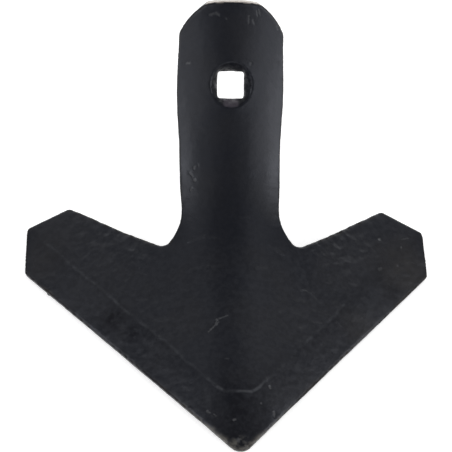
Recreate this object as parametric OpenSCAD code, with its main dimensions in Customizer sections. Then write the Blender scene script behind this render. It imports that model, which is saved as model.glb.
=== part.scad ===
// Cultivator sweep: one forged steel plate with two swept wings and an arched stem that bolts to a tine.
// It is drawn in the frame of its nose: x across, y back along the nose line from the point where the
// cutting edges would meet, z out of the plate towards its front. It is then tipped to stand as it
// works, on its point and on the rear ends of both cutting edges.

/* [Wings] */
// Width across the wing tips
span = 180; // [150:1:230]
// Angle between the two cutting edges
point_angle = 80.5; // [68:0.5:94]
// Radius of the point in plan
point_radius = 5.5; // [3:0.5:8]
// Fall of each wing away from the centre line
wing_fall = 15; // [9:0.5:20]
// Reach of the rounded ridge to each side of the centre line
ridge_reach = 14; // [8:0.5:20]
// Length of the end edge of each wing
wing_end = 21.5; // [15:0.5:27]
// Lean of the end edge towards the centre line
wing_end_lean = 4.5; // [0:0.5:14]
// Length of the cut-off rear corner of each wing
heel = 20.5; // [14:0.5:26]
// Angle of the cut-off corner from square across
heel_angle = 23; // [12:1:32]
// Angle of the trailing edge from square across
trail_angle = 35.5; // [28:0.5:42]
// Radius of the wing corners in plan
corner_radius = 2; // [1:0.25:3]

/* [Cutting edge] */
// Width of the bevel along each cutting edge
bevel_width = 14.5; // [10:0.5:20]
// Thickness left at the cutting edge
edge_thickness = 3; // [1.5:0.25:4]
// Reach of the bevel's rounded nose to each side of the centre line
nose_reach = 14; // [8:0.5:18]

/* [Plate] */
// Thickness of the plate
plate = 6; // [5:0.25:8]
// Width of the small chamfer round the plate's edges
edge_break = 0.6; // [0.3:0.1:1.2]

/* [Stem] */
// Length of the whole sweep along its bent centre line
stem_length = 219; // [205:1:240]
// Distance from the point to where the bend starts
bend_start = 75; // [60:1:85]
// Radius of the bend, on the back of the plate
bend_radius = 159; // [140:1:220]
// Radius of the arch across the stem, on the back of the plate
arch_radius = 33; // [27:0.5:60]
// Distance from the point to where the arch starts
arch_start = 95; // [80:1:105]
// Distance from the point to where the arch is full
arch_full = 140; // [125:1:155]
// Distance past the sides of the stem over which its arch levels out
arch_ease = 6.5; // [4:0.5:10]
// Distance past the sides of the stem at which its bend starts to die away
root_gap = 4.5; // [2:0.5:8]
// Distance from the centre line to where the bend has died away into the wings
root_reach = 52; // [40:1:60]
// Width of the stem at its neck, across the back
neck_width = 38; // [30:0.5:40]
// Width of the stem where its end starts to round off, across the back
shoulder_width = 41.5; // [35:0.5:43]
// Radius of the root between the stem and the trailing edge
root_radius = 3.5; // [2.5:0.5:8]
// Radius of the flare that leads from the stem into the root
flare_radius = 22; // [15:0.5:32]
// Turn of the flare before the root takes over
flare_turn = 47; // [30:1:60]
// Length of the rounded end of the stem
end_round = 10.5; // [6:0.5:16]
// Width of the square cut across the stem's end
end_width = 21.5; // [14:0.5:28]
// Turn where the rounded end leaves the side of the stem
end_turn = 18; // [8:1:28]

/* [Bolt hole] */
// Width of the square hole
hole = 12.5; // [10.5:0.5:14]
// Radius of the square hole's corners
hole_corner = 1.2; // [0.5:0.1:2]
// Swell of each side of the stem beside the punched hole
hole_swell = 0.8; // [0:0.1:1.5]
// Distance along the stem over which that swell dies away
swell_reach = 28; // [20:1:36]
// Distance from the hole's centre to the stem's end
hole_to_end = 38.5; // [32:0.5:44]
// Diameter of the countersunk seat at the front face
seat_d = 20; // [18:0.2:25]
// Full angle of the countersunk seat
seat_angle = 70; // [60:5:110]

/* [Hidden] */

half_angle = point_angle / 2;
half_span = span / 2;
half_neck = neck_width / 2;
half_shoulder = shoulder_width / 2;
stem_reach = max(half_neck, half_shoulder) + hole_swell;
fall = tan(wing_fall);
root_start = stem_reach + root_gap;

// Facets along each stretch of the outline
point_steps = 5;
edge_steps = 9;
corner_steps = 3;
side_steps = 2;
trail_steps = 5;
root_steps = 8;
flare_steps = 5;
stem_steps = 16;
end_steps = 9;
// Columns of the surface on each side of the centre line, closer together near it
columns = 11;
column_power = 1.35;
// Length of the short chords that give the surface's slope
chord = 0.02;
// Facets round the hole's corners and the seat
hole_facets = 32;
seat_facets = 64;

function smooth(u) = let (v = min(max(u, 0), 1)) v * v * (3 - 2 * v);
function mix(a, b, u) = a + (b - a) * u;

// Fall of a ridge that is rounded within its reach and straight beyond it, for a slope of one
function ridge(x, reach) =
    let (u = abs(x) / reach)
    u < 1 ? reach * (pow(u, 3) - pow(u, 4) / 2) : abs(x) - reach / 2;

// Place along the nose line of a length measured along the bent centre line, and the way back
function reach_of(length) =
    length <= bend_start ? length
    : bend_start + bend_radius * sin((length - bend_start) / bend_radius * 180 / PI);
function length_of(y) =
    y <= bend_start ? y
    : bend_start + bend_radius * asin((y - bend_start) / bend_radius) * PI / 180;

// Back of the plate: the ridged wings, with the bend and the arch of the stem fading into them
function bend(y) =
    y <= bend_start ? 0 : bend_radius - sqrt(pow(bend_radius, 2) - pow(y - bend_start, 2));
function arch(x) = arch_radius - sqrt(pow(arch_radius, 2) - pow(x, 2));
// Distance from the centre line, held back gently past the sides of the stem
function held(x) =
    let (u = min(max(abs(x) - stem_reach, 0) / arch_ease, 1))
    min(abs(x), stem_reach) + arch_ease * (u - u * u / 2);
function stem_share(x) = 1 - smooth((abs(x) - root_start) / (root_reach - root_start));
function back(x, y) =
    let (
        in_stem = held(x),
        arched = smooth((y - arch_start) / (arch_full - arch_start)),
        extra = fall * ridge(in_stem, ridge_reach) - arch(in_stem)
    )
    stem_share(x) * (bend(y) + arched * extra) - fall * ridge(x, ridge_reach);

// Point of the plate above a place on its back, measured square to the surface
function lift(p, height) =
    let (
        x = p[0],
        y = p[1],
        slope_x = (back(x + chord, y) - back(x - chord, y)) / (2 * chord),
        slope_y = (back(x, y + chord) - back(x, y - chord)) / (2 * chord),
        square = [-slope_x, -slope_y, 1] / norm([slope_x, slope_y, 1])
    )
    [x, y, back(x, y)] + height * square;

// Plan of the right half, from the point round the wing and up the stem
wing_tip = [half_span, half_span / tan(half_angle)];
heel_low = wing_tip + wing_end * [-sin(wing_end_lean), cos(wing_end_lean)];
heel_high = heel_low + heel * [-cos(heel_angle), sin(heel_angle)];
trail_cross = heel_high[1] - heel_high[0] * tan(trail_angle);
// The flare and the root are arcs that turn from the side of the stem on to the trailing edge
function turned(turn) = [cos(turn), sin(turn)];
root_turn = 90 + trail_angle;
flare_move = flare_radius * (turned(0) - turned(flare_turn));
root_move = root_radius * (turned(flare_turn) - turned(root_turn));
root_end_x = half_neck + flare_move[0] + root_move[0];
root_end = [root_end_x, trail_cross + root_end_x * tan(trail_angle)];
flare_start = root_end - root_move - flare_move;
flare_centre = flare_start + [flare_radius, 0];
root_centre = root_end + root_radius * turned(root_turn);
hole_at = stem_length - hole_to_end;
point_centre = [0, point_radius / sin(half_angle)];
point_step = (90 - half_angle) / (point_steps + 0.5);
stem_low = length_of(flare_start[1]);
stem_high = stem_length - end_round;
end_half = stem_half(stem_high) / cos(end_turn);
end_stop = acos(end_width / 2 / end_half);
end_rise = end_round / (sin(end_stop) - sin(end_turn));

function unit(v) = v / norm(v);
// Arc of the given radius that rounds the corner b between the straight edges from a and to c
function rounded(a, b, c, radius, steps) =
    let (
        before = unit(a - b),
        after = unit(c - b),
        half = acos(before * after) / 2,
        centre = b + unit(before + after) * radius / sin(half),
        from = b + before * radius / tan(half) - centre,
        to = b + after * radius / tan(half) - centre,
        sweep_angle = 180 - 2 * half
    )
    [for (i = [0:steps])
        let (u = i / steps)
        centre + (from * sin((1 - u) * sweep_angle) + to * sin(u * sweep_angle)) / sin(sweep_angle)];
function stem_half(length) =
    mix(half_neck, half_shoulder, (length - stem_low) / (stem_high - stem_low))
    + hole_swell * (1 - smooth(abs(length - hole_at) / swell_reach));

point_arc = [for (i = [0:point_steps])
    let (turn = (i + 0.5) * point_step - 90)
    point_centre + point_radius * [cos(turn), sin(turn)]];
tip_arc = rounded([0, 0], wing_tip, heel_low, corner_radius, corner_steps);
low_arc = rounded(wing_tip, heel_low, heel_high, corner_radius, corner_steps);
high_arc = rounded(heel_low, heel_high, root_end, corner_radius, corner_steps);
function between(a, b, steps) = [for (i = [1:steps - 1]) mix(a, b, i / steps)];
function last(list) = list[len(list) - 1];

cutting_plan = concat(point_arc, between(last(point_arc), tip_arc[0], edge_steps));
wing_plan = concat(
    tip_arc,
    between(last(tip_arc), low_arc[0], side_steps),
    low_arc,
    between(last(low_arc), high_arc[0], side_steps),
    high_arc);
trail_plan = between(last(high_arc), root_end, trail_steps);
root_plan = concat(
    [for (i = [0:root_steps - 1])
        root_centre - root_radius * turned(mix(root_turn, flare_turn, i / root_steps))],
    [for (i = [0:flare_steps - 1])
        flare_centre - flare_radius * turned(mix(flare_turn, 0, i / flare_steps))]);
stem_plan = [for (i = [0:stem_steps - 1])
    let (length = mix(stem_low, stem_high, i / stem_steps))
    [stem_half(length), reach_of(length)]];
end_plan = [for (i = [0:end_steps])
    let (turn = mix(end_turn, end_stop, i / end_steps))
    [end_half * cos(turn), reach_of(stem_high + end_rise * (sin(turn) - sin(end_turn)))]];
plan = concat(cutting_plan, wing_plan, trail_plan, root_plan, stem_plan, end_plan);
rows = len(plan);

// Each row of the surface runs from the centre line to a point of the plan. Rows of the wings lean
// back: they start at these shares of the way to where the trailing edges would cross the centre line.
tip_share = 0.70;
heel_share = 0.88;
root_share = 0.98;
row_tip = tip_share * trail_cross;
row_heel = heel_share * trail_cross;
row_root = root_share * trail_cross;
row_start = concat(
    [for (p = cutting_plan) mix(plan[0][1], row_tip, p[0] / half_span)],
    [for (i = [0:len(wing_plan) - 1]) mix(row_tip, row_heel, i / (len(wing_plan) - 1))],
    [for (i = [1:len(trail_plan)]) mix(row_heel, row_root, i / (len(trail_plan) + 1))],
    [for (i = [0:len(root_plan) - 1]) mix(row_root, flare_start[1], i / len(root_plan))],
    [for (p = stem_plan) p[1]],
    [for (p = end_plan) p[1]]);

// Plan drawn in by the edge break, for the faces inside the chamfer
function flip(p) = [-p[0], p[1]];
plan_in = [for (j = [0:rows - 1])
    let (
        before = j == 0 ? flip(plan[0]) : plan[j - 1],
        after = j == rows - 1 ? flip(plan[j]) : plan[j + 1],
        along = unit(after - before)
    )
    plan[j] + edge_break * [-along[1], along[0]]];

// A place on row j, at column i from -columns to columns
function place(edge, start, i) =
    let (u = pow(abs(i) / columns, column_power))
    [sign(i) * edge[0] * u, mix(start, edge[1], u)];
function start_in(j) = j == 0 || j == rows - 1 ? plan_in[j][1] : row_start[j];
function start_out(j) = j == 0 || j == rows - 1 ? plan[j][1] : row_start[j];

width = 2 * columns + 1;
face = rows * width;
// Rows and columns met on the way round the plate's edge
border = concat(
    [for (i = [-columns:columns]) [0, i]],
    [for (j = [1:rows - 1]) [j, columns]],
    [for (i = [columns - 1:-1:-columns]) [rows - 1, i]],
    [for (j = [rows - 2:-1:1]) [j, -columns]]);
turns = len(border);

places_in = [for (j = [0:rows - 1], i = [-columns:columns]) place(plan_in[j], start_in(j), i)];
places_out = [for (b = border) place(plan[b[0]], start_out(b[0]), b[1])];
points = concat(
    [for (p = places_in) lift(p, 0)],
    [for (p = places_in) lift(p, plate)],
    [for (p = places_out) lift(p, edge_break)],
    [for (p = places_out) lift(p, plate - edge_break)]);

function at(j, i) = j * width + i + columns;
// Two triangles of one cell of the surface, split the same way on both sides of the centre line
function cell(j, i) =
    i >= 0
    ? [[at(j, i), at(j + 1, i + 1), at(j, i + 1)], [at(j, i), at(j + 1, i), at(j + 1, i + 1)]]
    : [[at(j, i), at(j + 1, i), at(j, i + 1)], [at(j, i + 1), at(j + 1, i), at(j + 1, i + 1)]];
cells = [for (j = [0:rows - 2], i = [-columns:columns - 1]) each cell(j, i)];
back_rim = [for (b = border) at(b[0], b[1])];
front_rim = [for (k = back_rim) k + face];
low_rim = [for (k = [0:turns - 1]) 2 * face + k];
high_rim = [for (k = low_rim) k + turns];
function band(low, high) =
    [for (k = [0:turns - 1])
        let (next = (k + 1) % turns)
        each [[low[k], high[k], high[next]], [low[k], high[next], low[next]]]];
faces = concat(
    [for (c = cells) [c[2], c[1], c[0]]],
    [for (c = cells) [c[0], c[1], c[2]] + [face, face, face]],
    band(back_rim, low_rim),
    band(low_rim, high_rim),
    band(high_rim, front_rim));

// Plate before its edges are bevelled
module blank() {
    polyhedron(points = points, faces = faces);
}

// Bevel: one ridged surface that rises from the cutting edges to the front of the plate
plate_up = plate / cos(wing_fall);
edge_up = edge_thickness / cos(wing_fall);
bevel_climb = (plate_up - edge_up) * sin(half_angle) / bevel_width;
bevel_fall = fall + bevel_climb / tan(half_angle);
bevel_ridge = edge_up + fall * ridge_reach / 2 - bevel_fall * nose_reach / 2;
bevel_pitch = atan(bevel_climb);
bevel_steps = 10;
far = 2 * span;

module bevel_cutter() {
    nose = [for (i = [-bevel_steps:bevel_steps]) nose_reach * i / bevel_steps];
    across = concat([-far], nose, [far]);
    under = [for (x = across) [x, (bevel_ridge - bevel_fall * ridge(x, nose_reach)) * cos(bevel_pitch)]];
    // The cut keeps to a band along the cutting edges, clear of the stem
    band_width = 2 * bevel_width / sin(half_angle);
    lag = far / tan(half_angle);
    intersection() {
        rotate([90 + bevel_pitch, 0, 0])
            linear_extrude(4 * far, center = true)
                polygon(concat(under, [[far, far], [-far, far]]));
        linear_extrude(4 * far, center = true)
            polygon([[0, -far], [far, lag - far], [far, lag + band_width],
                     [0, band_width], [-far, lag + band_width], [-far, lag - far]]);
    }
}

// Square hole for a bolt's neck, with a countersunk seat for its head in the front face
hole_tilt = (hole_at - bend_start) / bend_radius * 180 / PI;
seat_depth = (seat_d - hole) / 2 / tan(seat_angle / 2);

module rounded_square(size, radius) {
    square([size, size - 2 * radius], center = true);
    square([size - 2 * radius, size], center = true);
    for (x = [-1, 1], y = [-1, 1])
        translate([x, y] * (size / 2 - radius))
            circle(radius, $fn = hole_facets);
}

module bolt_cutter() {
    translate(lift([0, reach_of(hole_at)], plate))
        rotate([hole_tilt, 0, 0]) {
            linear_extrude(4 * plate, center = true)
                rounded_square(hole, hole_corner);
            // The cone goes on past the face by its own depth
            translate([0, 0, -seat_depth])
                cylinder(h = 2 * seat_depth, d1 = hole, d2 = 2 * seat_d - hole, $fn = seat_facets);
        }
}

// The plate stands on its point and on the lowest place of its wings
stand_point = points[columns];
stand_pitch = max([for (p = points) p[1] > stand_point[1] + point_radius
    ? atan2(stand_point[2] - p[2], p[1] - stand_point[1]) : 0]);
function stood(p) = [
    p[1] * cos(stand_pitch) - p[2] * sin(stand_pitch),
    p[1] * sin(stand_pitch) + p[2] * cos(stand_pitch)];
point_top = [0, plan[0][1], bevel_ridge + bevel_climb * plan[0][1]];
front_reach = stood(point_top)[0];
rear_reach = max([for (p = points) stood(p)[0]]);
floor_level = min([for (p = points) stood(p)[1]]);

module sweep() {
    color([0.17, 0.17, 0.18])
        translate([0, -(front_reach + rear_reach) / 2, -floor_level])
            rotate([stand_pitch, 0, 0])
                difference() {
                    blank();
                    bevel_cutter();
                    bolt_cutter();
                }
}

sweep();
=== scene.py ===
"""Looks of the cultivator sweep: one forged plate under satin black paint, on a plain pale floor."""
from collections import namedtuple
import math

import bmesh
import bpy
import numpy as np
from mathutils import Matrix, Vector, noise
from mathutils.bvhtree import BVHTree


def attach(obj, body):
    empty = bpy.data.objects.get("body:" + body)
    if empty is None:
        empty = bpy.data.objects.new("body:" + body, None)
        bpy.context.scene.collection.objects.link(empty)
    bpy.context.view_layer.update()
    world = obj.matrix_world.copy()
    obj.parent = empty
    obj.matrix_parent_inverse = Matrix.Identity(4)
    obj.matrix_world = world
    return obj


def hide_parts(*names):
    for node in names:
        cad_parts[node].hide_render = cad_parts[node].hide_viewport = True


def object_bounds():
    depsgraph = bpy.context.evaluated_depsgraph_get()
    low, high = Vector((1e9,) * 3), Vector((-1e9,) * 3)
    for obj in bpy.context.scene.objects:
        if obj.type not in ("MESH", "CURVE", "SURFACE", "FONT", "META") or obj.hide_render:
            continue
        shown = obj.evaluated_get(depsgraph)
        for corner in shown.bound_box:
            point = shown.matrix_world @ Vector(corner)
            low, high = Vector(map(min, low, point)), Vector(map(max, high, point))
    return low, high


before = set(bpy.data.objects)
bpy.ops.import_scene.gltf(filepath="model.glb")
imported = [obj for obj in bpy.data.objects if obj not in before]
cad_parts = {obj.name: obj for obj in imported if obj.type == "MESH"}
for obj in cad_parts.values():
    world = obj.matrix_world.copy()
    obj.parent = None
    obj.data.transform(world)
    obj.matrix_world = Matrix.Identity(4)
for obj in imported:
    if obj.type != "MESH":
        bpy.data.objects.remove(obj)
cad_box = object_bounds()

MM = 0.001

# Camera: where it looks, from how far, and how the picture is framed
TARGET = Vector((0, 0, 40)) * MM
DISTANCE = 1200 * MM
AZIMUTH = math.radians(-6.6)
ELEVATION = math.radians(42.87)
ROLL = math.radians(5.11)
FRAME_RIGHT = 4.3 * MM
FRAME_UP = -4.61 * MM
PIXELS_PER_MM = 2.2902
PICTURE_PIXELS = 452
SENSOR = 36.0
CLIP_END = 100

# Light: soft panels at the sides, in front and above, a broad one behind, and a dim world. Each panel
# has its place, its width and height in metres, and its power
Panel = namedtuple("Panel", "name place size watts")
PANELS = (
    Panel("left_side", (-0.92, -0.20, 0.37), (0.42, 0.70), 2.3),
    Panel("right_side", (0.92, -0.22, 0.35), (0.40, 0.64), 2.75),
    Panel("left_upper", (-0.76, -0.08, 0.68), (0.20, 0.36), 0.70),
    Panel("right_upper", (0.86, 0.00, 0.50), (0.18, 0.36), 0.88),
    Panel("left_shoulder", (-0.44, -0.28, 0.88), (0.26, 0.22), 0.17),
    Panel("right_shoulder", (0.62, -0.28, 0.78), (0.26, 0.22), 0.34),
    Panel("left_front", (-0.74, -0.70, 0.46), (0.62, 0.88), 2.3),
    Panel("right_front", (0.74, -0.70, 0.46), (0.62, 0.88), 2.8),
    Panel("left_inner", (-0.37, -0.90, 0.75), (0.30, 1.30), 0.55),
    Panel("right_inner", (0.38, -0.90, 0.75), (0.26, 1.30), 0.34),
    Panel("left_high", (-0.45, 0.22, 1.00), (0.7, 0.4), 0.42),
    Panel("right_high", (0.45, 0.22, 1.00), (0.7, 0.4), 0.55),
    Panel("back", (0.0, 1.10, 0.60), (2.2, 1.1), 9.0),
)
WORLD_LIGHT = 0.23

# Floor: its size and colour, how strongly it glows near the part and far from it, and where that changes
FLOOR_SIZE = 6
FLOOR_COLOUR = (0.8, 0.8, 0.8, 1)
FLOOR_GLOW = (0.6, 1.0)
FLOOR_CHANGE = (0.35, 1.2)

# Mesh of the forging: its fineness, rounds of smoothing, how much a point bulges at an edge, how far
# edges and rims reach in rounds of spreading, and the cuts under the crease and the marks
WELD = 0.001 * MM
VOXEL = 0.65 * MM
TRIANGLES = 185000
RIM_ROUNDS = 6
KEEPING_SIZE = (0.5, -0.53)
FACE_ROUNDS = 120
CREASE_BULGE = (0.02, 0.05)
RIM_BULGE = (0.10, 0.16)
EDGE_REACH = 2
RIM_REACH = 3
CREASE_CUTS = 1
MARK_CUTS = 2

# Forged skin: wavelength and height of each layer of unevenness, the wrinkles of the wings and where
# they start and stop aside of the centre line, and how much of it all the bevels and the stem have
SKIN_LAYERS = (
    (26 * MM, 0.12 * MM),
    (9 * MM, 0.06 * MM),
    (4 * MM, 0.06 * MM),
    (2.2 * MM, 0.05 * MM),
)
WRINKLE_WAVELENGTH = 6.5 * MM
WRINKLE_OCTAVES = 3
WRINKLE_HEIGHT = 0.34 * MM
WRINKLE_START = (8 * MM, 32 * MM)
WRINKLE_STOP_LEFT = (60 * MM, 85 * MM)
WRINKLE_STOP_RIGHT = (50 * MM, 78 * MM)
BEVEL_SMOOTHNESS = 0.75
BEVEL_SOFTNESS = (-1 * MM, 1 * MM)
STEM_SKIN = 0.55
STEM_BACK = (-20 * MM, 30 * MM)
STEM_ASIDE = (22 * MM, 42 * MM)
PAINT_FILM = 0.3 * MM

# Ridge that the forging die left along the top of the bevel, as seen from above in millimetres
CREASE = ((-83, 28), (-9, -62), (-5.5, -65), (5.5, -65), (9, -62), (50, -12))
CREASE_WIDTH = 1.1 * MM
CREASE_WANDER = 0.9 * MM
WANDER_WAVELENGTH = 8 * MM
CREASE_HEIGHT = 0.15 * MM
CREASE_ON_ARMS = (0.10, 0.55)
LUMP_WAVELENGTH = 3.5 * MM
LUMP_RANGE = (-0.5, 0.6)
NOSE_FLAT = 14 * MM

# Seat of the bolt's head: where its axis meets the front, its directions out of and up the stem, its
# reach, the slope of its flanks, and the crescent of painted highlight on the flank that looks up
SEAT_MIDDLE = np.array((0, 64.75, 72.34)) * MM
SEAT_OUT = np.array((0, -0.7674, 0.6411))
SEAT_UP = np.array((0, 0.6411, 0.7674))
SEAT_REACH = 10.4 * MM
SEAT_SLOPE = (0.80, 0.95)
CRESCENT_HALF = (2.4 * MM, 4.2 * MM)
CRESCENT_FACING = (0.3, 0.6)

# Battered tip and worn edges: how far they reach back from the point, the size of the pits, and which
# way worn faces look
TIP_REACH = 7 * MM
PIT_WAVELENGTH = 2.6 * MM
PIT_DEPTH = 0.30 * MM
WORN_REACH = (30 * MM, 6 * MM)
WORN_FACING = (0.1, -0.35)
WORN_STEEP = (0.75, 0.4)

# Pale end face of the stem: the way it looks, how closely, and from what height
END_OUT = np.array((0, 0.438, 0.899))
END_FACING = (0.80, 0.93)
END_HEIGHT = (93 * MM, 97 * MM)

# Marks in the paint of the front: from one place to the other in millimetres as seen from above, then
# the width, the depth and how bare the metal shows
Mark = namedtuple("Mark", "name start stop width depth bare")
MARKS = (
    Mark("stem_scrape", (-16.3, 39.6), (-16.0, 40.4), 0.9, 0.12, 0.55),
    Mark("stem_scrape", (-18.0, 38.9), (-17.4, 38.0), 1.1, 0.12, 0.50),
    Mark("stem_scrape", (-17.1, 37.5), (-16.7, 36.8), 0.7, 0.10, 0.50),
    Mark("stem_scrape", (-16.2, 35.7), (-16.0, 35.3), 1.3, 0.14, 0.60),
    Mark("stem_scrape", (-14.5, 40.8), (-14.4, 40.2), 0.6, 0.08, 0.30),
    Mark("stem_scrape", (-17.7, 31.8), (-17.4, 32.8), 0.8, 0.10, 0.55),
    Mark("bend_fold", (-18.5, 10.3), (-12.0, 11.1), 1.6, -0.09, 0.05),
    Mark("bend_fold", (-12.0, 11.1), (-7.5, 9.8), 1.4, -0.07, 0.06),
    Mark("bend_fold", (-18.5, -3.2), (-11.0, -2.9), 1.6, -0.09, 0.05),
    Mark("bend_fold", (-11.0, -2.9), (-5.0, -3.3), 1.4, -0.06, 0.06),
    Mark("bend_fold", (10.0, -3.8), (15.5, -2.0), 1.4, -0.07, 0.06),
    Mark("bend_fold", (17.0, 7.8), (22.5, 6.0), 1.5, -0.08, 0.05),
    Mark("bend_fold", (3.5, 18.2), (7.5, 18.7), 1.2, -0.05, 0.05),
    Mark("stem_fleck", (-20.0, 74.0), (-18.5, 73.5), 0.8, 0.10, 0.75),
    Mark("end_fleck", (-10.5, 83.0), (-8.5, 83.0), 0.9, 0.10, 0.35),
    Mark("end_fleck", (-7.5, 83.0), (-6.5, 82.5), 1.1, 0.10, 0.40),
    Mark("end_fleck", (-3.0, 81.5), (-3.0, 81.5), 0.9, 0.08, 0.30),
    Mark("end_stroke", (10.5, 84.0), (11.0, 83.0), 0.6, 0.06, 0.50),
    Mark("end_stroke", (11.5, 84.5), (12.0, 83.5), 0.6, 0.06, 0.50),
    Mark("end_stroke", (7.0, 82.5), (7.0, 81.0), 0.6, 0.06, 0.45),
    Mark("end_stroke", (9.0, 82.0), (9.5, 81.0), 0.7, 0.06, 0.40),
    Mark("end_stroke", (20.0, 83.0), (20.5, 82.5), 0.7, 0.06, 0.55),
    Mark("hole_speck", (8.5, 71.5), (8.5, 71.0), 0.9, 0.08, 0.30),
    Mark("blade_scratch", (-12.0, -35.0), (-7.5, -30.5), 0.7, 0.10, 0.60),
    Mark("blade_scratch", (-8.0, -29.0), (-3.5, -27.5), 0.6, 0.08, 0.45),
    Mark("blade_scratch", (-8.5, -31.5), (-8.0, -29.0), 1.0, 0.10, 0.55),
    Mark("blade_dash", (-5.5, -49.0), (-3.5, -49.0), 0.6, 0.06, 0.30),
    Mark("nose_dash", (-13.5, -72.0), (-12.5, -73.0), 0.8, 0.12, 0.60),
    Mark("nose_dash", (-11.0, -74.0), (-10.0, -75.0), 0.7, 0.10, 0.50),
    Mark("nose_speck", (-2.5, -77.5), (-2.0, -77.5), 0.9, 0.15, 0.80),
    Mark("nose_speck", (13.5, -61.5), (13.5, -61.0), 0.9, 0.15, 0.80),
    Mark("nose_speck", (9.5, -69.5), (9.5, -69.5), 0.9, 0.12, 0.35),
    Mark("nose_speck", (15.0, -72.0), (15.0, -73.5), 1.1, 0.15, 0.60),
    Mark("point_chip", (-1.0, -86.5), (-1.0, -86.0), 1.4, 0.20, 0.70),
    Mark("wing_speck", (68.5, 27.0), (69.0, 27.0), 0.9, 0.12, 0.85),
    Mark("wing_speck", (79.0, 25.0), (79.0, 25.0), 0.8, 0.10, 0.55),
    Mark("wing_speck", (76.5, 15.0), (76.5, 15.0), 0.9, 0.10, 0.50),
    Mark("wing_speck", (67.5, 10.5), (68.5, 11.5), 1.2, 0.08, 0.30),
    Mark("wing_line", (79.5, 29.5), (82.5, 31.0), 0.7, 0.05, 0.25),
    Mark("wing_arc", (30.0, -10.0), (32.5, -9.5), 0.8, -0.04, 0.15),
    Mark("wing_arc", (32.5, -9.5), (35.0, -10.5), 0.8, -0.04, 0.15),
    Mark("wing_arc", (35.0, -10.5), (37.0, -12.5), 0.8, -0.04, 0.15),
)
MARK_SOFTNESS = 0.35 * MM
MARK_RAGGED = 0.4 * MM
RAGGED_WAVELENGTH = 0.9 * MM
MARK_MARGIN = 0.9 * MM

# Dull and dusty patches: middle in millimetres as seen from above, reach and strength. The bevels and
# the rims are dull too, and the bevels less so towards the ends of the wings
DULL_PATCHES = (
    ((-52, -19), 10 * MM, 1.0),
    ((-44, -28), 8 * MM, 1.0),
    ((72, 2), 9 * MM, 0.7),
    ((1, -78), 36 * MM, 0.75),
)
DUSTY_PATCHES = (
    ((80, 14), 24 * MM, 0.50),
    ((57, -22), 14 * MM, 0.40),
    ((-82, 18), 18 * MM, 0.30),
)
BEVEL_DULLNESS = 0.36
DULL_STOP = (38 * MM, 66 * MM)
RIM_DULLNESS = 0.9

# Burrs: place in millimetres, reach and height
Burr = namedtuple("Burr", "name place reach height")
BURRS = (
    Burr("edge_nick", (-80.2, 3.7, 0.8), 1.3 * MM, 0.45 * MM),
    Burr("hole_burr", (6.2, 67.6, 70.7), 1.0 * MM, 0.35 * MM),
)

# Paint colours, as linear values
BLUE_BLACK = (0.0036, 0.0042, 0.0070, 1)
BROWN_BLACK = (0.0042, 0.0044, 0.0064, 1)
DUST_BROWN = (0.0165, 0.0138, 0.0108, 1)
RUBBED_PAINT = (0.018, 0.019, 0.023, 1)
# Painted highlight along the crease, lighter than the paint
CREASE_HIGHLIGHT = (0.040, 0.042, 0.047, 1)
WORN_STEEL = (0.105, 0.100, 0.090, 1)
# Painted highlight on the seat's upper flank
SEAT_HIGHLIGHT = (0.050, 0.044, 0.055, 1)
CHIPPED = (0.060, 0.061, 0.064, 1)
# Pale colour of the stem's end face
PALE_END = (0.60, 0.54, 0.49, 1)
COOL_SHEEN = (0.87, 0.90, 1.0, 1)
DULL_SHEEN = (0.16, 0.155, 0.17, 1)

# Unevenness of each layer of the paint: wavelength and detail of the noise, the noise between which the
# layer comes in, and its least and most share
Gaps = namedtuple("Gaps", "wavelength detail low high least most")
RUBBED_GAPS = Gaps(2.2 * MM, 3.0, 0.38, 0.62, 0.0, 1.0)
RIM_GAPS = Gaps(9 * MM, 2.0, 0.40, 0.65, 0.3, 0.9)
DUST_GAPS = Gaps(5 * MM, 3.0, 0.30, 0.60, 0.5, 1.0)
CREASE_HIGHLIGHT_GAPS = Gaps(4 * MM, 3.0, 0.35, 0.55, 0.2, 1.0)
TIP_GAPS = Gaps(2.2 * MM, 2.0, 0.40, 0.70, 0.0, 0.75)
WORN_GAPS = Gaps(3 * MM, 3.0, 0.30, 0.60, 0.25, 1.0)
DULL_GAPS = Gaps(2.5 * MM, 3.0, 0.35, 0.60, 0.4, 1.0)
TINT_GAPS = Gaps(24 * MM, 2.0, 0.38, 0.62, 0.0, 1.0)
GLOSS_GAPS = Gaps(24 * MM, 2.0, 0.30, 0.70, 0.30, 0.37)
RUBBED_BLADE = 0.28
RUBBED_STEM = 0.10

# Finish of the paint: roughness where it isn't plain, its gloss, and the grain of its film
RIM_ROUGHNESS = 0.85
DULL_ROUGHNESS = 0.7
CHIP_ROUGHNESS = 0.7
SPECULAR_LEVEL = 0.33
GRAIN_WAVELENGTH = 1.1 * MM
GRAIN_DETAIL = 3.0
GRAIN_DEPTH = 0.06 * MM
GRAIN_STRENGTH = 0.7


def add_camera():
    """Camera at the photograph's viewing angle."""
    look = Vector((-math.sin(AZIMUTH) * math.cos(ELEVATION),
                   math.cos(AZIMUTH) * math.cos(ELEVATION),
                   -math.sin(ELEVATION)))
    level = Vector((math.cos(AZIMUTH), math.sin(AZIMUTH), 0))
    rise = level.cross(look)
    right = math.cos(ROLL) * level + math.sin(ROLL) * rise
    up = right.cross(look)
    data = bpy.data.cameras.new("camera")
    data.sensor_width = SENSOR
    data.lens = SENSOR * PIXELS_PER_MM * DISTANCE / MM / PICTURE_PIXELS
    data.clip_end = CLIP_END
    camera = bpy.data.objects.new("camera", data)
    turn = Matrix((right, up, -look)).transposed()
    place = TARGET - DISTANCE * look - FRAME_RIGHT * level - FRAME_UP * rise
    camera.matrix_world = Matrix.Translation(place) @ turn.to_4x4()
    bpy.context.scene.collection.objects.link(camera)
    bpy.context.scene.camera = camera


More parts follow.
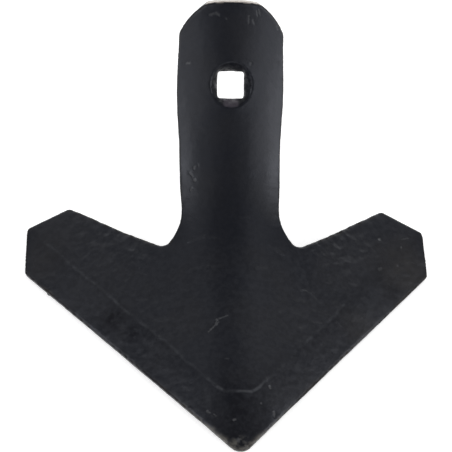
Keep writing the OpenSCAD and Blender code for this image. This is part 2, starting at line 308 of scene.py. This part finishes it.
def add_panel(panel):
    """Soft rectangular lamp, turned towards the part."""
    data = bpy.data.lights.new(panel.name, "AREA")
    data.shape = "RECTANGLE"
    data.size, data.size_y = panel.size
    data.energy = panel.watts
    lamp = bpy.data.objects.new(panel.name, data)
    lamp.location = panel.place
    lamp.rotation_euler = (TARGET - lamp.location).to_track_quat("-Z", "Y").to_euler()
    bpy.context.scene.collection.objects.link(lamp)


def add_world():
    """Dim light all round, with white where the camera sees past the floor."""
    world = bpy.data.worlds.new("world")
    bpy.context.scene.world = world
    world.use_nodes = True
    nodes, links = world.node_tree.nodes, world.node_tree.links
    background = nodes["Background"]
    background.inputs["Color"].default_value = (1, 1, 1, 1)
    path = nodes.new("ShaderNodeLightPath")
    level = nodes.new("ShaderNodeMapRange")
    level.inputs["To Min"].default_value = WORLD_LIGHT
    level.inputs["To Max"].default_value = 1.0
    links.new(path.outputs["Is Camera Ray"], level.inputs["Value"])
    links.new(level.outputs[0], background.inputs["Strength"])


def add_floor():
    """Plain white floor that keeps the shadow and glows enough to look white, more so far from the lamps."""
    bpy.ops.mesh.primitive_plane_add(size=FLOOR_SIZE, location=(0, 0, -PAINT_FILM))
    floor = bpy.context.object
    floor.name = "floor"
    material = bpy.data.materials.new("floor")
    material.use_nodes = True
    nodes, links = material.node_tree.nodes, material.node_tree.links
    shader = nodes["Principled BSDF"]
    shader.inputs["Base Color"].default_value = FLOOR_COLOUR
    shader.inputs["Roughness"].default_value = 1.0
    shader.inputs["Specular IOR Level"].default_value = 0.0
    shader.inputs["Emission Color"].default_value = (1, 1, 1, 1)
    path = nodes.new("ShaderNodeLightPath")
    seen = nodes.new("ShaderNodeMath")
    seen.operation = "MAXIMUM"
    links.new(path.outputs["Is Camera Ray"], seen.inputs[0])
    links.new(path.outputs["Is Glossy Ray"], seen.inputs[1])
    place = nodes.new("ShaderNodeTexCoord")
    away = nodes.new("ShaderNodeVectorMath")
    away.operation = "LENGTH"
    links.new(place.outputs["Object"], away.inputs[0])
    level = nodes.new("ShaderNodeMapRange")
    level.inputs["From Min"].default_value, level.inputs["From Max"].default_value = FLOOR_CHANGE
    level.inputs["To Min"].default_value, level.inputs["To Max"].default_value = FLOOR_GLOW
    links.new(away.outputs["Value"], level.inputs["Value"])
    glow = nodes.new("ShaderNodeMath")
    glow.operation = "MULTIPLY"
    links.new(seen.outputs[0], glow.inputs[0])
    links.new(level.outputs["Result"], glow.inputs[1])
    links.new(glow.outputs[0], shader.inputs["Emission Strength"])
    floor.data.materials.append(material)


def smoothstep(low, high, x):
    """Soft step from 0 at low to 1 at high."""
    u = np.clip((x - low) / (high - low), 0, 1)
    return u * u * (3 - 2 * u)


class Surface:
    """Points of a mesh, with the neighbour sums that smoothing needs."""

    def __init__(self, mesh):
        self.mesh = mesh
        count = len(mesh.vertices)
        points = np.empty(count * 3)
        mesh.vertices.foreach_get("co", points)
        self.points = points.reshape(-1, 3)
        edges = np.empty(len(mesh.edges) * 2, np.int64)
        mesh.edges.foreach_get("vertices", edges)
        first, second = edges.reshape(-1, 2).T
        self.start = np.concatenate([first, second])
        self.stop = np.concatenate([second, first])
        self.neighbours = np.bincount(self.start, minlength=count)

    def mean(self, values):
        """Mean of a value, or of each column of values, over the neighbours of every point."""
        if values.ndim == 1:
            return np.bincount(self.start, values[self.stop], len(values)) / self.neighbours
        return np.stack([self.mean(column) for column in values.T], axis=1)

    def spread(self, mask, rounds):
        """A mask that has grown outwards, fading as it goes."""
        for _ in range(rounds):
            mask = np.maximum(mask, self.mean(mask))
        return mask

    def store(self):
        self.mesh.vertices.foreach_set("co", self.points.ravel())
        self.mesh.update()

    def normals(self):
        self.store()
        normals = np.empty(len(self.mesh.vertices) * 3)
        self.mesh.vertex_normals.foreach_get("vector", normals)
        return normals.reshape(-1, 3)

    def smooth(self, rounds, share, pulls=(0.5,)):
        """Draws every point towards its neighbours, by its own share of each pull, round after round."""
        for pull in pulls * rounds:
            step = self.mean(self.points) - self.points
            self.points = self.points + pull * share[:, None] * step

    def bulge(self):
        """How far each point stands out from its neighbours, in voxels."""
        step = self.mean(self.points) - self.points
        return -(step * self.normals()).sum(1) / VOXEL

    def paint(self, name, values):
        """Stores one value per point for a material to read."""
        layer = self.mesh.attributes.new(name, "FLOAT", "POINT")
        layer.data.foreach_set("value", np.clip(values, 0, 1).astype(np.float32))

    def read(self, name):
        values = np.empty(len(self.mesh.vertices), np.float32)
        self.mesh.attributes[name].data.foreach_get("value", values)
        return values.astype(float)


def apply_modifiers(body):
    """Gives the piece the mesh that its modifiers make."""
    bpy.context.view_layer.update()
    done = body.evaluated_get(bpy.context.evaluated_depsgraph_get())
    mesh = bpy.data.meshes.new_from_object(done)
    body.modifiers.clear()
    body.data = mesh


def remeshed_copy(node):
    """Fine, even mesh of a CAD node."""
    body = bpy.data.objects.new("forging", node.data.copy())
    bpy.context.scene.collection.objects.link(body)
    weld = body.modifiers.new("weld", "WELD")
    weld.merge_threshold = WELD
    remesh = body.modifiers.new("remesh", "REMESH")
    remesh.mode = "VOXEL"
    remesh.voxel_size = VOXEL
    apply_modifiers(body)
    return body


def thin_out(body):
    """Joins the faces that show least, until the piece is light enough."""
    count = sum(len(face.vertices) - 2 for face in body.data.polygons)
    thin = body.modifiers.new("thin", "DECIMATE")
    thin.ratio = TRIANGLES / count
    thin.use_collapse_triangulate = True
    apply_modifiers(body)


def round_off(mesh):
    """Rounds the edges, smooths the facets out, and stores where the rims are."""
    surface = Surface(mesh)
    bulge = surface.bulge()
    edge = surface.spread(smoothstep(*CREASE_BULGE, np.abs(bulge)), EDGE_REACH)
    rim = smoothstep(*RIM_BULGE, np.abs(bulge))
    surface.smooth(RIM_ROUNDS, np.ones(len(edge)), KEEPING_SIZE)
    surface.smooth(FACE_ROUNDS, 1 - edge)
    surface.store()
    from_seat = seat_distance(surface.points)
    outside_seat = smoothstep(SEAT_REACH, SEAT_REACH + RIM_REACH * VOXEL, from_seat)
    surface.paint("rim", surface.spread(rim, RIM_REACH) * outside_seat)


def front_place(tree, place):
    """Point of the front under a place that is given as seen from above, in millimetres."""
    above = Vector((place[0] * MM, place[1] * MM, 1.0))
    return np.array(tree.ray_cast(above, Vector((0, 0, -1)))[0])


def distance_to(points, start, stop):
    """Distance of every point from the straight line between two places."""
    along = stop - start
    squared = max(along @ along, np.finfo(float).tiny)
    share = np.clip((points - start) @ along / squared, 0, 1)
    return np.linalg.norm(points - start - share[:, None] * along, axis=1)


def front_lines(mesh):
    """Each mark with the two ends of its line on the front, and the stretches of the crease."""
    shape = bmesh.new()
    shape.from_mesh(mesh)
    tree = BVHTree.FromBMesh(shape)
    shape.free()
    marks = [(mark, front_place(tree, mark.start), front_place(tree, mark.stop)) for mark in MARKS]
    corners = [front_place(tree, place) for place in CREASE]
    return marks, list(zip(corners, corners[1:]))


def crease_distance(points, crease):
    """Distance of every point from the crease."""
    return np.min([distance_to(points, start, stop) for start, stop in crease], axis=0)


def crease_ridge(points, crease):
    """Height of the crease from 0 to 1: clear across the nose, wavering and lumpy along the arms."""
    wander = CREASE_WANDER * noise_over(points, WANDER_WAVELENGTH)
    wavering = points + wander[:, None] * np.array((1, 0, 0))
    ridge = 1 - smoothstep(0, CREASE_WIDTH, crease_distance(wavering, crease))
    on_arms = smoothstep(NOSE_FLAT / 2, NOSE_FLAT, np.abs(points[:, 0]))
    low, high = CREASE_ON_ARMS
    lumps = low + (high - low) * smoothstep(*LUMP_RANGE, noise_over(points, LUMP_WAVELENGTH))
    return ridge * (1 - on_arms * (1 - lumps))


def split_edges(mesh, near, cuts):
    """Splits the edges whose middles pass a test."""
    shape = bmesh.new()
    shape.from_mesh(mesh)
    shape.edges.ensure_lookup_table()
    middles = np.array([(e.verts[0].co + e.verts[1].co) / 2 for e in shape.edges])
    edges = [shape.edges[int(i)] for i in np.flatnonzero(near(middles))]
    bmesh.ops.subdivide_edges(shape, edges=edges, cuts=cuts, use_grid_fill=True)
    shape.to_mesh(mesh)
    shape.free()


def refine(mesh, marks, crease):
    """Splits the faces under the crease and the marks, so that they have a clear shape."""
    def under_crease(middles):
        return crease_distance(middles, crease) < CREASE_WIDTH + CREASE_WANDER

    def under_marks(middles):
        near = np.zeros(len(middles), bool)
        for mark, start, stop in marks:
            near |= distance_to(middles, start, stop) < mark.width * MM / 2 + MARK_MARGIN
        return near

    split_edges(mesh, under_crease, CREASE_CUTS)
    split_edges(mesh, under_marks, MARK_CUTS)


def noise_over(points, wavelength):
    """Smooth noise from -1 to 1 at every point."""
    return np.array([noise.noise(Vector(p)) for p in points / wavelength])


def stem_share(points):
    """1 on the stem, 0 on the blade, with a soft change between them."""
    x, y = np.abs(points[:, 0]), points[:, 1]
    return smoothstep(*STEM_BACK, y) * (1 - smoothstep(*STEM_ASIDE, x))


def bevel_share(points):
    """1 on the bevels in front of the crease, 0 behind it. Both arms are taken from the left one."""
    arm = np.array(CREASE[2::-1]) * MM
    edge = np.interp(np.abs(points[:, 0]), -arm[:, 0], arm[:, 1])
    return smoothstep(*BEVEL_SOFTNESS, edge - points[:, 1])


def skin_height(points):
    """Unevenness of the forged skin: soft layers and fine wrinkles, fainter on the stem."""
    height = sum(size * noise_over(points, wavelength) for wavelength, size in SKIN_LAYERS)
    places = points / WRINKLE_WAVELENGTH
    folds = np.array([noise.turbulence(Vector(p), WRINKLE_OCTAVES, True) for p in places])
    x = points[:, 0]
    stop = np.maximum(smoothstep(*WRINKLE_STOP_LEFT, -x), smoothstep(*WRINKLE_STOP_RIGHT, x))
    on_wing = smoothstep(*WRINKLE_START, np.abs(x)) * (1 - stop)
    off_bevel = 1 - BEVEL_SMOOTHNESS * bevel_share(points)
    height += WRINKLE_HEIGHT * (folds.mean() - folds) * on_wing * off_bevel
    return height * (1 - (1 - STEM_SKIN) * stem_share(points))


def marks_over(points, marks):
    """How deep the marks are at every point, and how bare the metal shows."""
    depth, bare = np.zeros(len(points)), np.zeros(len(points))
    ragged = MARK_RAGGED * noise_over(points, RAGGED_WAVELENGTH)
    for mark, start, stop in marks:
        reach = mark.width * MM / 2
        away = distance_to(points, start, stop) + ragged
        inside = 1 - smoothstep(reach - MARK_SOFTNESS, reach + MARK_SOFTNESS, away)
        depth += mark.depth * MM * inside
        bare = np.maximum(bare, mark.bare * inside)
    return depth, bare


def burr_height(points):
    """How far the burrs stand out at every point."""
    height = np.zeros(len(points))
    for burr in BURRS:
        away = np.linalg.norm(points - np.array(burr.place) * MM, axis=1)
        height += burr.height * (1 - smoothstep(0, burr.reach, away))
    return height


def hammer(mesh, marks, crease):
    """Gives the forging its uneven skin, its crease, its chips and its burrs, and stores where they are."""
    surface = Surface(mesh)
    points, normals = surface.points, surface.normals()
    ridge, tip = crease_ridge(points, crease), tip_share(points)
    depth, bare = marks_over(points, marks)
    height = PAINT_FILM + skin_height(points) + CREASE_HEIGHT * ridge
    height += PIT_DEPTH * tip * noise_over(points, PIT_WAVELENGTH)
    height += burr_height(points) - depth
    surface.points = points + height[:, None] * normals
    surface.store()
    rim = surface.read("rim")
    # The crease's ridge, which is also the mask of the painted highlight along it
    surface.paint("crease", ridge)
    surface.paint("tip", tip)
    surface.paint("chip", bare)
    surface.paint("stem", stem_share(points))
    surface.paint("dull", dullness(points, normals, rim))
    # Where the seat's upper flank gets a painted highlight
    surface.paint("crescent", seat_highlight(points, normals))
    surface.paint("dusty", patches_over(points, DUSTY_PATCHES))
    surface.paint("worn", worn_edges(points, normals, rim))
    # The stem's end face, coloured pale
    surface.paint("pale_end", pale_end(points, normals))


def dullness(points, normals, rim):
    """Where the paint has lost its gloss: patches, the bevels, the rims and the flanks of the seat."""
    inward = 1 - smoothstep(*DULL_STOP, np.abs(points[:, 0]))
    shares = (
        patches_over(points, DULL_PATCHES),
        BEVEL_DULLNESS * bevel_share(points) * inward,
        RIM_DULLNESS * rim,
        seat_flanks(points, normals),
    )
    return np.max(shares, axis=0)


def patches_over(points, patches):
    """Strength of soft round patches at every point."""
    share = np.zeros(len(points))
    for middle, reach, strength in patches:
        away = np.linalg.norm(points[:, :2] - np.array(middle) * MM, axis=1)
        share = np.maximum(share, strength * (1 - smoothstep(0, reach, away)))
    return share


def seat_distance(points):
    """Distance of every point from the axis of the bolt's seat."""
    away = points - SEAT_MIDDLE
    return np.linalg.norm(away - (away @ SEAT_OUT)[:, None] * SEAT_OUT, axis=1)


def seat_flanks(points, normals):
    """Sloping flanks of the bolt's seat."""
    inside = 1 - smoothstep(SEAT_REACH - VOXEL, SEAT_REACH, seat_distance(points))
    return inside * (1 - smoothstep(*SEAT_SLOPE, normals @ SEAT_OUT))


def seat_highlight(points, normals):
    """The middle of the flank that looks up the stem, where the seat gets a painted highlight."""
    middle = 1 - smoothstep(*CRESCENT_HALF, np.abs(points[:, 0]))
    return seat_flanks(points, normals) * middle * smoothstep(*CRESCENT_FACING, normals @ SEAT_UP)


def tip_share(points):
    """1 at the point, fading out behind it."""
    away = np.hypot(points[:, 0], points[:, 1] - cad_box[0].y)
    return 1 - smoothstep(TIP_REACH / 3, TIP_REACH, away)


def worn_edges(points, normals, rim):
    """Where the paint is rubbed off the cutting edges, most of all at the point."""
    near_point = smoothstep(*WORN_REACH, points[:, 1] - cad_box[0].y)
    forward = smoothstep(*WORN_FACING, normals[:, 1])
    edge = np.clip(rim + smoothstep(*WORN_STEEP, normals[:, 2]), 0, 1)
    return edge * near_point * forward


def pale_end(points, normals):
    """The sheared end face of the stem, coloured pale."""
    return smoothstep(*END_HEIGHT, points[:, 2]) * smoothstep(*END_FACING, normals @ END_OUT)


class Nodes:
    """Short ways to build a material's nodes."""

    def __init__(self, material):
        material.use_nodes = True
        self.tree = material.node_tree
        self.shader = self.tree.nodes["Principled BSDF"]
        place = self.tree.nodes.new("ShaderNodeTexCoord")
        self.place = place.outputs["Object"]

    def link(self, source, target):
        self.tree.links.new(source, target)

    def noise(self, wavelength, detail):
        """Noise over the object, with a wavelength in metres."""
        node = self.tree.nodes.new("ShaderNodeTexNoise")
        node.inputs["Scale"].default_value = 1 / wavelength
        node.inputs["Detail"].default_value = detail
        self.link(self.place, node.inputs["Vector"])
        return node.outputs["Fac"]

    def range(self, value, low, high, to_low, to_high):
        """A value carried softly from one range to another."""
        node = self.tree.nodes.new("ShaderNodeMapRange")
        node.interpolation_type = "SMOOTHSTEP"
        names = ("From Min", "From Max", "To Min", "To Max")
        for name, number in zip(names, (low, high, to_low, to_high)):
            node.inputs[name].default_value = number
        self.link(value, node.inputs["Value"])
        return node.outputs["Result"]

    def gaps(self, gaps):
        """Noise carried into the range of a layer's gaps."""
        return self.range(self.noise(gaps.wavelength, gaps.detail), *gaps[2:])

    def broken(self, name, gaps):
        """A stored layer, broken up by its gaps."""
        return self.times(self.layer(name), self.gaps(gaps))

    def layer(self, name):
        """A value that is stored on the mesh."""
        node = self.tree.nodes.new("ShaderNodeAttribute")
        node.attribute_name = name
        return node.outputs["Fac"]

    def math(self, operation, first, second):
        node = self.tree.nodes.new("ShaderNodeMath")
        node.operation = operation
        for socket, value in zip(node.inputs, (first, second)):
            if isinstance(value, (int, float)):
                socket.default_value = value
            else:
                self.link(value, socket)
        return node.outputs[0]

    def times(self, first, second):
        return self.math("MULTIPLY", first, second)

    def most(self, first, second):
        return self.math("MAXIMUM", first, second)

    def mix(self, share, first, second):
        """One colour over another, by a share from 0 to 1."""
        node = self.tree.nodes.new("ShaderNodeMix")
        node.data_type = "RGBA"
        self.link(share, node.inputs["Factor"])
        colours = [socket for socket in node.inputs if socket.type == "RGBA"]
        for socket, value in zip(colours, (first, second)):
            if isinstance(value, tuple):
                socket.default_value = value
            else:
                self.link(value, socket)
        return next(socket for socket in node.outputs if socket.type == "RGBA")


def paint_colour(n):
    """Uneven black, with rubbed and dusty places, a painted highlight along the crease, worn places, a
    painted highlight on the seat's upper flank, chips and the pale end face laid over it in turn.
    """
    rubbed_most = n.range(n.layer("stem"), 0, 1, RUBBED_BLADE, RUBBED_STEM)
    overlays = (
        (n.times(n.gaps(RUBBED_GAPS), rubbed_most), RUBBED_PAINT),
        (n.most(n.broken("rim", RIM_GAPS), n.broken("dusty", DUST_GAPS)), DUST_BROWN),
        # Painted highlight along the crease
        (n.broken("crease", CREASE_HIGHLIGHT_GAPS), CREASE_HIGHLIGHT),
        (n.broken("tip", TIP_GAPS), WORN_STEEL),
        (n.broken("worn", WORN_GAPS), WORN_STEEL),
        # Painted highlight on the seat's upper flank
        (n.layer("crescent"), SEAT_HIGHLIGHT),
        (n.layer("chip"), CHIPPED),
        # The stem's end face, coloured pale
        (n.layer("pale_end"), PALE_END),
    )
    colour = n.mix(n.gaps(TINT_GAPS), BLUE_BLACK, BROWN_BLACK)
    for share, overlay in overlays:
        colour = n.mix(share, colour, overlay)
    return colour


def paint_roughness(n, dull):
    """Satin, and rougher on the rims, the dull places and the chips."""
    rough = n.gaps(GLOSS_GAPS)
    rough = n.most(rough, n.times(n.layer("rim"), RIM_ROUGHNESS))
    rough = n.most(rough, n.times(dull, DULL_ROUGHNESS))
    return n.most(rough, n.times(n.layer("chip"), CHIP_ROUGHNESS))


def black_paint():
    """Satin black paint over forged steel: uneven tint, rubbed edges, chips, painted highlights on the
    crease and on the seat, and a pale end face.
    """
    material = bpy.data.materials.new("black_paint")
    n = Nodes(material)
    dull = n.broken("dull", DULL_GAPS)
    n.link(paint_colour(n), n.shader.inputs["Base Color"])
    n.link(paint_roughness(n, dull), n.shader.inputs["Roughness"])
    n.link(n.mix(dull, COOL_SHEEN, DULL_SHEEN), n.shader.inputs["Specular Tint"])
    n.shader.inputs["Specular IOR Level"].default_value = SPECULAR_LEVEL
    bump = n.tree.nodes.new("ShaderNodeBump")
    bump.inputs["Distance"].default_value = GRAIN_DEPTH
    bump.inputs["Strength"].default_value = GRAIN_STRENGTH
    n.link(n.noise(GRAIN_WAVELENGTH, GRAIN_DETAIL), bump.inputs["Height"])
    n.link(bump.outputs["Normal"], n.shader.inputs["Normal"])
    return material


def add_forging():
    """The whole sweep as one dressed piece in place of its CAD node."""
    body = remeshed_copy(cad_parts["sweep"])
    round_off(body.data)
    marks, crease = front_lines(body.data)
    refine(body.data, marks, crease)
    hammer(body.data, marks, crease)
    thin_out(body)
    body.data.shade_smooth()
    body.data.materials.clear()
    body.data.materials.append(black_paint())
    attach(body, "root")
    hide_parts("sweep")


add_camera()
add_world()
add_floor()
for lamp_panel in PANELS:
    add_panel(lamp_panel)
add_forging()

bpy.context.scene.view_settings.view_transform = "Standard"
